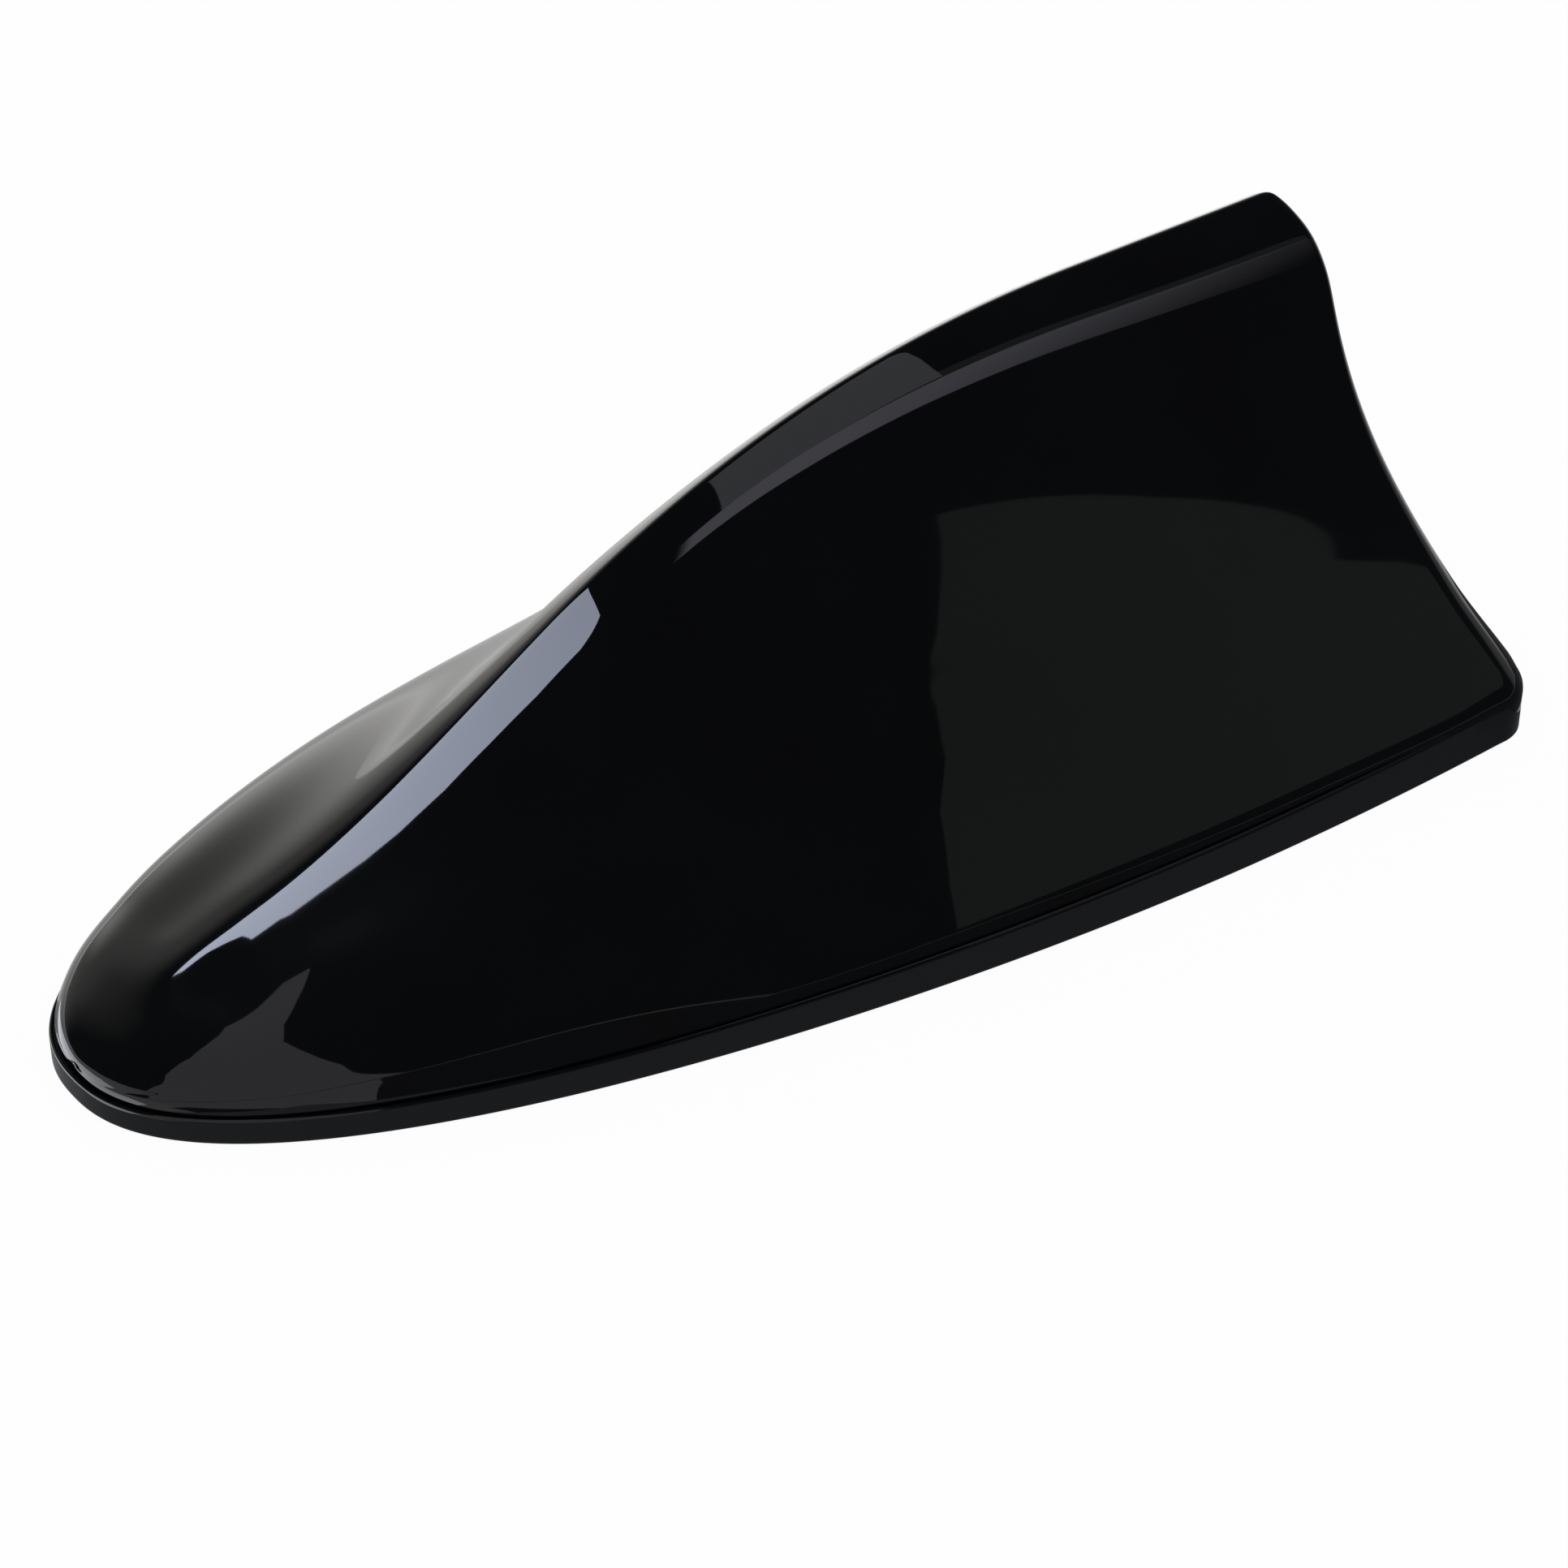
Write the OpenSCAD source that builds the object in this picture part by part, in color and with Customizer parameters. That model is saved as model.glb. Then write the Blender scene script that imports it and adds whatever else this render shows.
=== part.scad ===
// Shark fin roof aerial, stuck to a flat roof over the car's own aerial base.
// Millimetres. +Z is up, the nose points along -Y, X is across the car.
// The origin is on the roof plane, under the middle of the cover.

/* [Cover plan] */
// Length of the cover from nose to tail
cover_l = 165; // [155:1:185]
// Greatest width of the cover
cover_w = 75.6; // [70:0.2:84]
// Distance from the nose back to the widest place
wide_at = 118.6; // [108:0.2:130]
// Roundness of the nose in plan, along the cover
nose_along = 1.84; // [1.7:0.02:2.2]
// Roundness of the nose in plan, across the cover
nose_across = 2.28; // [1.9:0.05:2.5]
// How far each side draws in from the widest place to the tail
tail_draw = 2.2; // [0:0.2:4]
// Depth of the rounded rear corner at the lower edge
corner_low = 10.8; // [8:0.1:14]
// Depth of the rounded rear corner at the top of the fin
corner_top = 2.5; // [2:0.1:4]

/* [Cover side view] */
// Height of the lower lip at the nose
lip_nose = 2.7; // [2:0.1:3.4]
// Height of the lower lip at the tail
lip_tail = 5.4; // [4.5:0.1:7]
// Width of the ledge between the lip and the flank
ledge = 0.6; // [0.4:0.1:1]
// Distance from the nose to the brow, where the nose stops rounding
brow_at = 22; // [18:1:26]
// Height of the ridge at the brow
brow_h = 14.6; // [12.5:0.1:16]
// Slope of the ridge at the brow
brow_slope = 0.34; // [0.3:0.02:0.44]
// Distance from the nose to the steepest place of the ridge
rise_at = 56.4; // [50:0.2:62]
// Height of the ridge at its steepest place
rise_h = 33.4; // [30:0.1:36]
// Slope of the ridge at its steepest place
rise_slope = 0.62; // [0.55:0.01:0.75]
// Distance from the nose to the crest, where the ridge levels out
crest_at = 121.8; // [116:0.2:128]
// Height of the ridge at the crest
crest_h = 52.6; // [50:0.2:56]
// Distance from the nose to the end of the ridge
tip_at = 150; // [146:1:153]
// Height of the ridge at its end
tip_h = 53.8; // [51.8:0.2:57]
// How far the tail edge leans forward from the lip to the knee under the tip
tail_sweep = 11.6; // [9:0.1:14]
// How strongly the tail edge is hollowed
tail_hollow = 2.3; // [1.5:0.1:3]
// Height of the knee under the tip
knee_h = 45.3; // [42:0.1:47.5]
// How far the tail edge leans forward from the knee to the ridge
knee_lean = 2.5; // [1:0.5:4]
// Length over which the end of the ridge rounds down to the tail edge
tip_round = 4; // [3.4:0.1:5]

/* [Cover section] */
// Half width of the ridge strip on the nose
strip_nose = 4; // [3:0.1:4.6]
// Half width of the ridge strip at half length
strip_mid = 4.1; // [3.4:0.1:4.8]
// Half width of the ridge strip at the tail
strip_tail = 5.6; // [4.6:0.1:6.6]
// Drop of the strip's crease under the ridge on the nose
crease_nose = 2.5; // [2:0.1:3]
// Drop of the strip's crease under the ridge at half length
crease_mid = 2.8; // [2.2:0.1:3.4]
// Drop of the strip's crease under the ridge at the tail
crease_tail = 3.8; // [3:0.1:4.6]
// Inward lean of the flank at its foot on the nose, degrees
foot_lean_nose = 2; // [0:1:8]
// Inward lean of the flank at its foot at half length, degrees
foot_lean_mid = 21; // [10:1:26]
// Inward lean of the flank at its foot at the tail, degrees
foot_lean_tail = 37; // [28:1:42]
// Outward flare of the flank under the crease on the nose, degrees
crease_flare_nose = 76; // [65:1:80]
// Outward flare of the flank under the crease behind the nose, degrees
crease_flare_mid = 22; // [16:1:28]
// Fullness of the flank at its foot
foot_full = 0.46; // [0.42:0.01:0.55]
// Fullness of the flank at its crease
crease_full = 0.43; // [0.38:0.01:0.48]
// Wall of the moulded cover
wall = 2.2; // [1.8:0.1:2.6]
// How far the snap bead stands in from the skirt
bead = 0.6; // [0.4:0.1:0.8]

/* [Base] */
// Height of the cover's lower edge over the roof
rim_gap = 0.4; // [0.2:0.1:0.8]
// Thickness of the adhesive foam pad
pad_t = 1.2; // [1:0.1:2]
// Thickness of the base plate's floor
floor_t = 2.4; // [2:0.1:3]
// Thickness of the base plate's ribs and well walls
rib_t = 1.8; // [1.4:0.1:2.2]
// Height of the base plate's ribs over its floor
rib_h = 2.4; // [1:0.1:3]
// Width of the rubber gasket
gasket_w = 3; // [2:0.1:4]
// Depth to which the gasket sits in the base plate
gasket_sunk = 0.8; // [0.5:0.1:1.2]
// Gap between the base plate's edge and the cover's skirt
edge_gap = 0.3; // [0.2:0.05:0.5]

/* [Well for the car's own aerial base] */
// Width of the well
well_w = 30; // [26:1:34]
// Length of the well
well_l = 40; // [36:1:44]
// Height of the well over the roof
well_h = 11; // [10:0.5:12]
// Distance of the well's middle behind the middle of the cover
well_y = 22; // [18:1:26]

/* [Adapter for the aerial stud] */
// Diameter of the tapping hole of the adapter's M5 thread
tap_d = 4.2; // [4:0.1:4.5]
// Depth of the threaded hole
tap_depth = 7; // [6:0.5:8]
// Diameter of the adapter's neck
neck_d = 8; // [7.5:0.5:9]
// Width across the flats of the adapter's hexagon and of its nut
hex_af = 13; // [12:0.5:14]
// Height of the adapter's hexagon
hex_h = 2.4; // [2:0.1:3]
// Height of the adapter's nut
nut_h = 2.2; // [2:0.1:2.6]
// Thickness of the lock washer
washer_t = 0.8; // [0.6:0.1:1]

/* [Circuit board] */
// Width of the board
board_w = 22; // [20:1:24]
// Length of the board
board_l = 62; // [58:1:64]
// Thickness of the board
board_t = 1.6; // [1.2:0.2:2]
// Gap between the adapter's neck and the board, for the contact spring
spring_gap = 2; // [1.6:0.1:2.4]
// Width of the screening can
can_w = 16; // [14:1:17]
// Length of the screening can
can_l = 18; // [14:1:20]
// Height of the screening can
can_h = 4.5; // [4:0.5:5]
// Thickness of sheet metal parts
sheet_t = 0.4; // [0.3:0.1:0.6]

/* [Coil and top plate] */
// Distance of the coil behind the middle of the well
coil_back = 9; // [6:1:10]
// Diameter of the coil former
former_d = 6.4; // [5:0.2:7]
// Thickness of the coil's wire
wire_d = 0.9; // [0.7:0.1:1.1]
// Rise of each turn
pitch = 1.6; // [1.4:0.1:1.8]
// Width of the top plate
hat_w = 5.2; // [4.4:0.2:5.6]
// Gap between the top plate and the inside of the tail edge
hat_tail_gap = 4; // [3:0.5:8]
// Height of the top plate's side flaps
hat_h = 6; // [4:0.5:8]
// Gap between the top plate and the inside of the ridge
hat_gap = 7.5; // [7:0.1:9]

/* [Hidden] */
// Facets of round parts
$fn = 48;

// Stations between which the section changes, from the nose
station_nose = 12;
station_mid = 75;
station_tail = 150;
// The nose is a smooth dome as far as dome_to; the ridge and its strip have grown out of it at ridge_from
dome_to = 6;
ridge_from = 15;
// Flare of the flank at the top of the dome, degrees
dome_flare = 87;
// Shares of the section's parameter: the flank ends and the strip begins
crease_v = 0.75;
// The nose of the flank stands a little above the lip
nose_step = 0.8;
// Exponent of the rounded rear corner in plan
corner_round = 2 / 2.6;

// Steps of the lofted cover: along it, round its rear corner, up its flank and over its strip
along = 36;
round_steps = 6;
flank_steps = 12;
strip_steps = 4;
inner_flank = 8;
inner_strip = 2;
// Clearance between pieces that are stacked or slide together
fit = 0.1;

function mix(a, b, t) = a + (b - a) * t;
function clamp(t) = min(1, max(0, t));
function ease(t) = let(c = clamp(t)) c * c * (3 - 2 * c);
function station(u, a, b, c) =
    a + (b - a) * ease((u - station_nose) / (station_mid - station_nose))
      + (c - b) * ease((u - station_mid) / (station_tail - station_mid));

// Half width of the plan outline at a distance from the nose, inset on all sides
function half_w(u, inset = 0) =
    let(k = clamp((u - inset) / (wide_at - inset)))
    (cover_w / 2 - inset) * pow(1 - pow(1 - k, nose_along), 1 / nose_across)
    - tail_draw * pow(clamp((u - wide_at) / (cover_l - wide_at)), 2);

function lip_z(u) = mix(lip_nose, lip_tail, clamp(u / cover_l));

function hermite(t, h, z0, s0, z1, s1) =
    (2 * pow(t, 3) - 3 * t * t + 1) * z0 + (pow(t, 3) - 2 * t * t + t) * h * s0
    + (3 * t * t - 2 * pow(t, 3)) * z1 + (pow(t, 3) - t * t) * h * s1;

// Height of the ridge line at a distance from the nose
crest_slope = (tip_h - crest_h) / (tip_at - crest_at);
nose_top = lip_nose + nose_step;
function ridge_z(u) =
    u <= brow_at ?
        let(t = clamp(u / brow_at), rise = brow_h - nose_top, root = 2 * (rise - brow_slope * brow_at))
        nose_top + root * sqrt(t) + (rise - root) * t
    : u <= rise_at ?
        hermite((u - brow_at) / (rise_at - brow_at), rise_at - brow_at, brow_h, brow_slope, rise_h, rise_slope)
    : u <= crest_at ?
        hermite((u - rise_at) / (crest_at - rise_at), crest_at - rise_at, rise_h, rise_slope, crest_h, crest_slope)
    : mix(crest_h, tip_h, clamp((u - crest_at) / (tip_at - crest_at)));

// Point of the half section, from the flank's foot (v = 0) over the crease to the ridge (v = 1).
// skin is the depth under the outer face: 0 outside, the wall inside
function section(u, v, skin = 0) =
    let(half = half_w(u, ledge + skin),
        top = ridge_z(max(0, u - 0.6 * skin)) - 0.9 * skin,
        foot = min(lip_z(u), top - 0.2),
        grown = mix(0.08, 1, ease((u - dome_to) / (ridge_from - dome_to))),
        strip = min(max(station(u, strip_nose, strip_mid, strip_tail) - 0.5 * skin, 0.3), half / 2),
        drop = min(station(u, crease_nose, crease_mid, crease_tail) * grown * min(1, half), 0.4 * (top - foot)))
    v > crease_v ?
        let(r = (v - crease_v) / (1 - crease_v))
        [pow(1 - r, 2) * strip + 2 * (1 - r) * r * 0.55 * strip,
         pow(1 - r, 2) * (top - drop) + 2 * (1 - r) * r * (top - 0.4 * drop) + r * r * top]
    :
        let(s = v / crease_v,
            reach = norm([half - strip, top - drop - foot]),
            lean = station(u, foot_lean_nose, foot_lean_mid, foot_lean_tail),
            flare = mix(dome_flare, station(u, crease_flare_nose, crease_flare_mid, crease_flare_mid), grown),
            low = [half - foot_full * reach * sin(lean), foot + foot_full * reach * cos(lean)],
            high = [strip + crease_full * reach * sin(flare), top - drop - crease_full * reach * cos(flare)])
        pow(1 - s, 3) * [half, foot] + 3 * pow(1 - s, 2) * s * low
        + 3 * (1 - s) * s * s * high + pow(s, 3) * [strip, top - drop];

// The tail edge in the side view, and the depth of its rounded corner, by height
function tail_u(z) =
    let(k = clamp((z - lip_tail) / (knee_h - lip_tail)), t = clamp((z - knee_h) / (tip_h - knee_h)))
    cover_l - tail_sweep * (1 - pow(1 - k, tail_hollow)) - knee_lean * pow(t, 1.3);
function corner_u(z) = mix(corner_low, corner_top, pow(clamp((z - lip_tail) / (knee_h - lip_tail)), 0.6));

// Depth by which the end of a row of the strip dips, so that the tip is round from the side
function tip_dip(v) = 0.65 * tip_round * pow(clamp((v - crease_v) / (1 - crease_v)), 1.4);

// One row of points from the nose along the flank and round the rear corner to the middle.
// A lip row has an inset and a height; a flank row has its section parameter
function along_t(i) = pow(i / along, 1.8);
function lip_row(inset, z_nose, z_tail) = [for (i = [0 : along + round_steps])
    let(last = cover_l - corner_low)
    i <= along ?
        let(u = mix(inset, last, along_t(i)))
        [i == 0 ? 0 : half_w(u, inset), u, mix(z_nose, z_tail, u / cover_l)]
    :
        let(a = 90 * (i - along) / round_steps)
        [i == along + round_steps ? 0 : half_w(last, inset) * pow(cos(a), corner_round),
         last + (corner_low - inset) * pow(sin(a), corner_round),
         mix(z_nose, z_tail, (last + (corner_low - inset) * pow(sin(a), corner_round)) / cover_l)]];
function skin_row(v, skin) =
    let(z = section(station_tail, v, skin)[1], in = ledge + skin, dip = tip_dip(v),
        corner = max(corner_u(z) + dip / 3, in + 0.8), last = tail_u(z) - corner,
        edge = section(last, v, skin))
    [for (i = [0 : along + round_steps])
        i <= along ?
            let(u = mix(ledge + skin, last, along_t(i)), p = section(u, v, skin))
            [i == 0 || v == 1 ? 0 : p[0], u, p[1]]
        :
            let(a = 90 * (i - along) / round_steps)
            [i == along + round_steps || v == 1 ? 0 : edge[0] * pow(cos(a), corner_round),
             last + (corner - in) * pow(sin(a), corner_round),
             edge[1] - (skin > 0 ? 0 : dip) * (1 - pow(cos(a), corner_round))]];

// Faces between rows of points of both sides, sharing the points on the middle plane
row_n = along + round_steps + 1;
function pid(row, i, side, rows, base) =
    base + (side > 0 || i == 0 || i == row_n - 1 || row == rows - 1 ? 0 : rows * row_n) + row * row_n + i;
function skin_faces(rows, base, outward) = [
    for (side = [1, -1], row = [0 : rows - 2], i = [0 : row_n - 2])
        let(a = pid(row, i, side, rows, base), b = pid(row, i + 1, side, rows, base),
            c = pid(row + 1, i + 1, side, rows, base), d = pid(row + 1, i, side, rows, base),
            flip = side * outward > 0)
        each (flip ? [[a, c, b], [a, d, c]] : [[a, b, c], [a, c, d]])];
function both(rows_points) = concat(
    [for (r = rows_points) each r], [for (r = rows_points) each [for (p = r) [-p[0], p[1], p[2]]]]);

outer_rows = concat(
    [lip_row(0.3, 0, 0), lip_row(0, 0.3, 0.3), lip_row(0, lip_nose - 0.5, lip_tail - 0.5),
     lip_row(0.12, lip_nose - 0.12, lip_tail - 0.12), lip_row(0.4, lip_nose, lip_tail)],
    [for (k = [0 : flank_steps]) skin_row(crease_v * k / flank_steps, 0)],
    [for (k = [1 : strip_steps]) skin_row(crease_v + (1 - crease_v) * k / strip_steps, 0)]);
skirt_in = wall + ledge;
inner_rows = concat(
    [lip_row(skirt_in, 0, 0), lip_row(skirt_in, 0.1, 0.1), lip_row(skirt_in + bead, 0.45, 0.45),
     lip_row(skirt_in, 0.75, 0.75)],
    [for (k = [0 : inner_flank]) skin_row(crease_v * k / inner_flank, wall)],
    [for (k = [1 : inner_strip]) skin_row(crease_v + (1 - crease_v) * k / inner_strip, wall)]);

module cover_shell() {
    no = len(outer_rows);
    ni = len(inner_rows);
    base = 2 * no * row_n;
    points = concat(both(outer_rows), both(inner_rows));
    rim = [for (side = [1, -1], i = [0 : row_n - 2])
        let(a = pid(0, i, side, no, 0), b = pid(0, i + 1, side, no, 0),
            c = pid(0, i + 1, side, ni, base), d = pid(0, i, side, ni, base))
        each (side > 0 ? [[a, b, c], [a, c, d]] : [[a, c, b], [a, d, c]])];
    translate([0, -cover_l / 2, rim_gap])
        polyhedron(points, concat(skin_faces(no, 0, 1), skin_faces(ni, base, -1), rim));
}

module cover() {
    color("#101214") cover_shell();
}

// The plan outline, inset on all sides
module outline(inset) {
    half = [for (p = lip_row(inset, 0, 0)) [p[0], p[1] - cover_l / 2]];
    polygon(concat(half, [for (i = [len(half) - 2 : -1 : 1]) [-half[i][0], half[i][1]]]));
}
module slab(inset, low, high) {
    translate([0, 0, low]) linear_extrude(high - low) outline(inset);
}

// A rectangle with round corners, centred
module soft_rect(w, l, r) {
    square([w - 2 * r, l], center = true);
    square([w, l - 2 * r], center = true);
    for (x = [-1, 1], y = [-1, 1])
        translate([x * (w / 2 - r), y * (l / 2 - r)]) circle(r);
}
module soft_block(w, l, r, low, high) {
    translate([0, 0, low]) linear_extrude(high - low) soft_rect(w, l, r);
}
module tube(outer, inner, low, high) {
    translate([0, 0, low]) difference() {
        cylinder(h = high - low, d = outer);
        translate([0, 0, -1]) cylinder(h = high - low + 2, d = inner);
    }
}
module hexagon(af, low, high) {
    translate([0, 0, low]) cylinder(h = high - low, d = af / cos(30), $fn = 6);
}

// Levels, from the roof up
plate_in = skirt_in + edge_gap;
gasket_in = skirt_in + bead + 0.4;
floor_top = pad_t + floor_t;
well_top = well_h + rib_t;
neck_top = well_top + washer_t + nut_h + 0.5;
board_low = neck_top + spring_gap;
board_top = board_low + board_t;
well_r = 5;

module gasket() {
    color("#1b1b1c") difference() {
        slab(gasket_in, 0, pad_t + gasket_sunk);
        slab(gasket_in + gasket_w, -1, pad_t + gasket_sunk + 1);
    }
}

module adhesive_pad() {
    color("#26272a") difference() {
        slab(gasket_in + gasket_w + 1, 0, pad_t);
        translate([0, well_y, 0]) soft_block(well_w + 1, well_l + 1, well_r, -1, pad_t + 1);
    }
}

// Posts carry the board in front of the well and behind it
post_d = 6;
pilot_d = 1.8;
post_y = well_l / 2 + rib_t + 2.6;
post_x = board_w / 2 - 3.4;
module at_posts() {
    for (x = [-1, 1], y = [-1, 1]) translate([x * post_x, well_y + y * post_y, 0]) children();
}

// Ribs across the floor stop short of the skirt; two ribs along it run back to the well
cross_ribs = [-46, -28, -10, 56];
long_rib_x = 12;
rib_reach = 4;
function rib_half(y) = half_w(y + cover_l / 2, plate_in) - rib_reach;
module floor_ribs() {
    for (y = cross_ribs)
        translate([0, y + rib_t / 2, floor_top]) rotate([90, 0, 0])
            linear_extrude(rib_t) translate([-rib_half(y), -0.2]) square([2 * rib_half(y), rib_h + 0.2]);
    for (x = [-1, 1])
        translate([x * long_rib_x - rib_t / 2, cross_ribs[0], floor_top - 0.2])
            cube([rib_t, well_y - well_l / 2 - cross_ribs[0], rib_h + 0.2]);
}

// The plate's upper edge is stepped in to clear the rounding inside the cover's nose
edge_step = 0.7;
module base_plate() {
    color("#2a2b2e") difference() {
        union() {
            slab(plate_in, pad_t, floor_top - edge_step);
            slab(plate_in + edge_step, pad_t, floor_top);
            floor_ribs();
            translate([0, well_y, 0])
                soft_block(well_w + 2 * rib_t, well_l + 2 * rib_t, well_r + rib_t, pad_t, well_top);
            at_posts() translate([0, 0, floor_top - 0.2]) cylinder(h = board_low - floor_top + 0.2, d = post_d);
        }
        difference() {
            slab(gasket_in, pad_t - 1, pad_t + gasket_sunk);
            slab(gasket_in + gasket_w, pad_t - 2, pad_t + gasket_sunk + 1);
        }
        translate([0, well_y, 0]) soft_block(well_w, well_l, well_r, -1, well_h);
        translate([0, well_y, well_h - 1]) cylinder(h = rib_t + 2, d = neck_d + 2 * fit);
        at_posts() translate([0, 0, board_low - 6]) cylinder(h = 7, d = pilot_d);
    }
}

// Brass adapter: a hexagon under the well's roof, a neck through it and a blind thread from below
sleeve_h = 2.6;
module adapter() {
    color("#b5984a") translate([0, well_y, 0]) difference() {
        union() {
            hexagon(hex_af, well_h - hex_h, well_h);
            translate([0, 0, well_h - hex_h - sleeve_h]) cylinder(h = sleeve_h + 0.2, d = neck_d + 1);
            translate([0, 0, well_h - 0.2]) cylinder(h = neck_top - well_h + 0.2, d = neck_d);
        }
        translate([0, 0, well_h - hex_h - sleeve_h - 1]) cylinder(h = tap_depth + 1, d = tap_d);
    }
}
module lock_washer() {
    color("#a9adb1") translate([0, well_y, 0]) tube(hex_af, neck_d + 2 * fit, well_top, well_top + washer_t);
}
module adapter_nut() {
    color("#b9bcc0") translate([0, well_y, 0]) difference() {
        hexagon(hex_af, well_top + washer_t, well_top + washer_t + nut_h);
        cylinder(h = 3 * well_top, d = neck_d + 2 * fit);
    }
}

// Leaf of spring bronze: its foot lies on the board's underside, its tongue rests on the neck
spring_w = 4;
module contact_spring() {
    t = 0.3;
    color("#c39a52") translate([spring_w / 2, well_y, 0]) rotate([90, 0, -90]) linear_extrude(spring_w) polygon([
        [-12, board_low], [-12, board_low - t], [-7, board_low - t], [-1.5, neck_top + t],
        [0, neck_top], [1.5, neck_top + t], [2.2, neck_top + 2 * t],
        [2, neck_top + 3 * t], [1.3, neck_top + 2 * t], [0, neck_top + t], [-1.3, neck_top + 2 * t],
        [-6.8, board_low]]);
}

module circuit_board() {
    color("#1f5a3a") difference() {
        translate([0, well_y, 0]) soft_block(board_w, board_l, 3, board_low, board_top);
        at_posts() cylinder(h = board_top + 1, d = pilot_d + 8 * fit);
        pin_places() cylinder(h = board_top + 1, d = pin_d + 2 * fit);
    }
}
// Self-tapping screws with a cross in their head
screw_bite = 4.5;
head_d = 4;
head_h = 1.3;
cross = [2.4, 0.6];
module board_screws() {
    color("#8d9297") at_posts() {
        translate([0, 0, board_low - screw_bite]) cylinder(h = screw_bite + board_t, d = pilot_d);
        difference() {
            translate([0, 0, board_top]) cylinder(h = head_h, d = head_d);
            for (a = [0, 90]) rotate(a)
                translate([-cross[0] / 2, -cross[1] / 2, board_top + head_h / 2]) cube([cross[0], cross[1], head_h]);
        }
    }
}

// Screening can: a soldered frame with a lid that clips over it
can_y = well_y - well_l / 2 + can_l / 2 + 1.4;
lid_hole_d = 1.6;
module shield_frame() {
    color("#c2c5c8") translate([0, can_y, 0]) difference() {
        soft_block(can_w, can_l, 1, board_top, board_top + can_h - sheet_t);
        soft_block(can_w - 2 * sheet_t, can_l - 2 * sheet_t, 0.6, board_top - 1, board_top + can_h);
    }
}
module shield_lid() {
    color("#cfd2d4") translate([0, can_y, 0]) difference() {
        soft_block(can_w + 2 * fit + 2 * sheet_t, can_l + 2 * fit + 2 * sheet_t, 1.5,
            board_top + 1, board_top + can_h);
        soft_block(can_w + 2 * fit, can_l + 2 * fit, 1.1, board_top, board_top + can_h - sheet_t);
        for (x = [-1, 0, 1], y = [-1, 0, 1])
            translate([x * can_w / 4, y * can_l / 4, board_top + can_h - 1])
                cylinder(h = 2, d = lid_hole_d, $fn = 24);
    }
}
chip = [5, 4, 1.4];
chip_leg = [0.4, 1.2, 0.9];
leg_pitch = 1.27;
module amplifier_chip() {
    color("#202123") translate([0, can_y, board_top]) {
        translate([-chip[0] / 2, -chip[1] / 2, 0.3]) cube(chip);
        for (k = [-1.5 : 1.5], s = [-1, 1])
            translate([k * leg_pitch - chip_leg[0] / 2, s * chip[1] / 2 - chip_leg[1] / 2 + s * chip_leg[0], 0])
                cube(chip_leg);
    }
}

// Capacitors in two rows: beside the coil's foot, and across the rear of the board
cap = [2.2, 1.2, 1];
cap_rear = board_l / 2 - 10 * cap[1];
module chip_capacitors() {
    color("#b98f5e") {
        for (x = [-0.34, -0.24, 0.24, 0.34])
            translate([x * board_w - cap[1] / 2, well_y + cap[1], board_top]) cube([cap[1], cap[0], cap[2]]);
        for (s = [-1, 1], row = [0, 3 * cap[1]])
            translate([s * board_w / 4 - cap[0] / 2, well_y + cap_rear - row, board_top]) cube(cap);
    }
}
inductor_d = 6;
inductor_h = 3.6;
cheek = 0.8;
module input_inductor() {
    color("#3a3532") translate([0, well_y + cap_rear + cap[1], board_top]) {
        cylinder(h = cheek, d = inductor_d);
        cylinder(h = inductor_h, d = 0.6 * inductor_d);
        translate([0, 0, inductor_h - cheek]) cylinder(h = cheek, d = inductor_d);
    }
}

// Height of the inside of the ridge over the roof, at a place along the aerial
function inside_z(y) = rim_gap + ridge_z(y + cover_l / 2 - 0.6 * wall) - 0.9 * wall;
coil_y = well_y + coil_back;
hat_from = coil_y - former_d / 2 - 3.8;
hat_to = cover_l / 2 - tail_sweep - knee_lean - wall - hat_tail_gap;
hat_l = hat_to - hat_from;
hat_top = min(inside_z(hat_from), inside_z(hat_to)) - hat_gap;
flange_h = 1.6;
flange_d = former_d + 6;
arm_w = hat_w - 2 * sheet_t - 2 * fit;
arm_h = 3;
arm_low = hat_top - sheet_t - arm_h;
post_top = hat_top - hat_h - 2 * fit;
coil_low = board_top + flange_h + wire_d;
coil_gap = 0.6;
turns = floor((post_top - coil_gap - wire_d / 2 - coil_low) / pitch);
coil_r = former_d / 2 + fit + wire_d / 2;

// Coil former: flange on the board, post for the coil and an arm under the top plate
module coil_former() {
    color("#e6e2d6") {
        difference() {
            translate([0, coil_y, board_top]) cylinder(h = flange_h, d = flange_d);
            pin_places() cylinder(h = hat_top, d = pin_d + 2 * fit);
        }
        translate([0, coil_y, board_top]) cylinder(h = post_top - board_top, d = former_d);
        translate([-arm_w / 2, coil_y - arm_w / 2, post_top - 1])
            cube([arm_w, arm_w, arm_low - post_top + 1.5]);
        translate([-arm_w / 2, hat_from + 1, arm_low]) cube([arm_w, hat_l - 2, arm_h]);
        translate([-arm_w / 2, coil_y, 0]) rotate([90, 0, 90]) linear_extrude(arm_w)
            polygon([[arm_w / 2 - 0.2, arm_low + 0.2], [hat_l / 2, arm_low + 0.2],
                [arm_w / 2 - 0.2, post_top + 0.2]]);
    }
}

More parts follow.
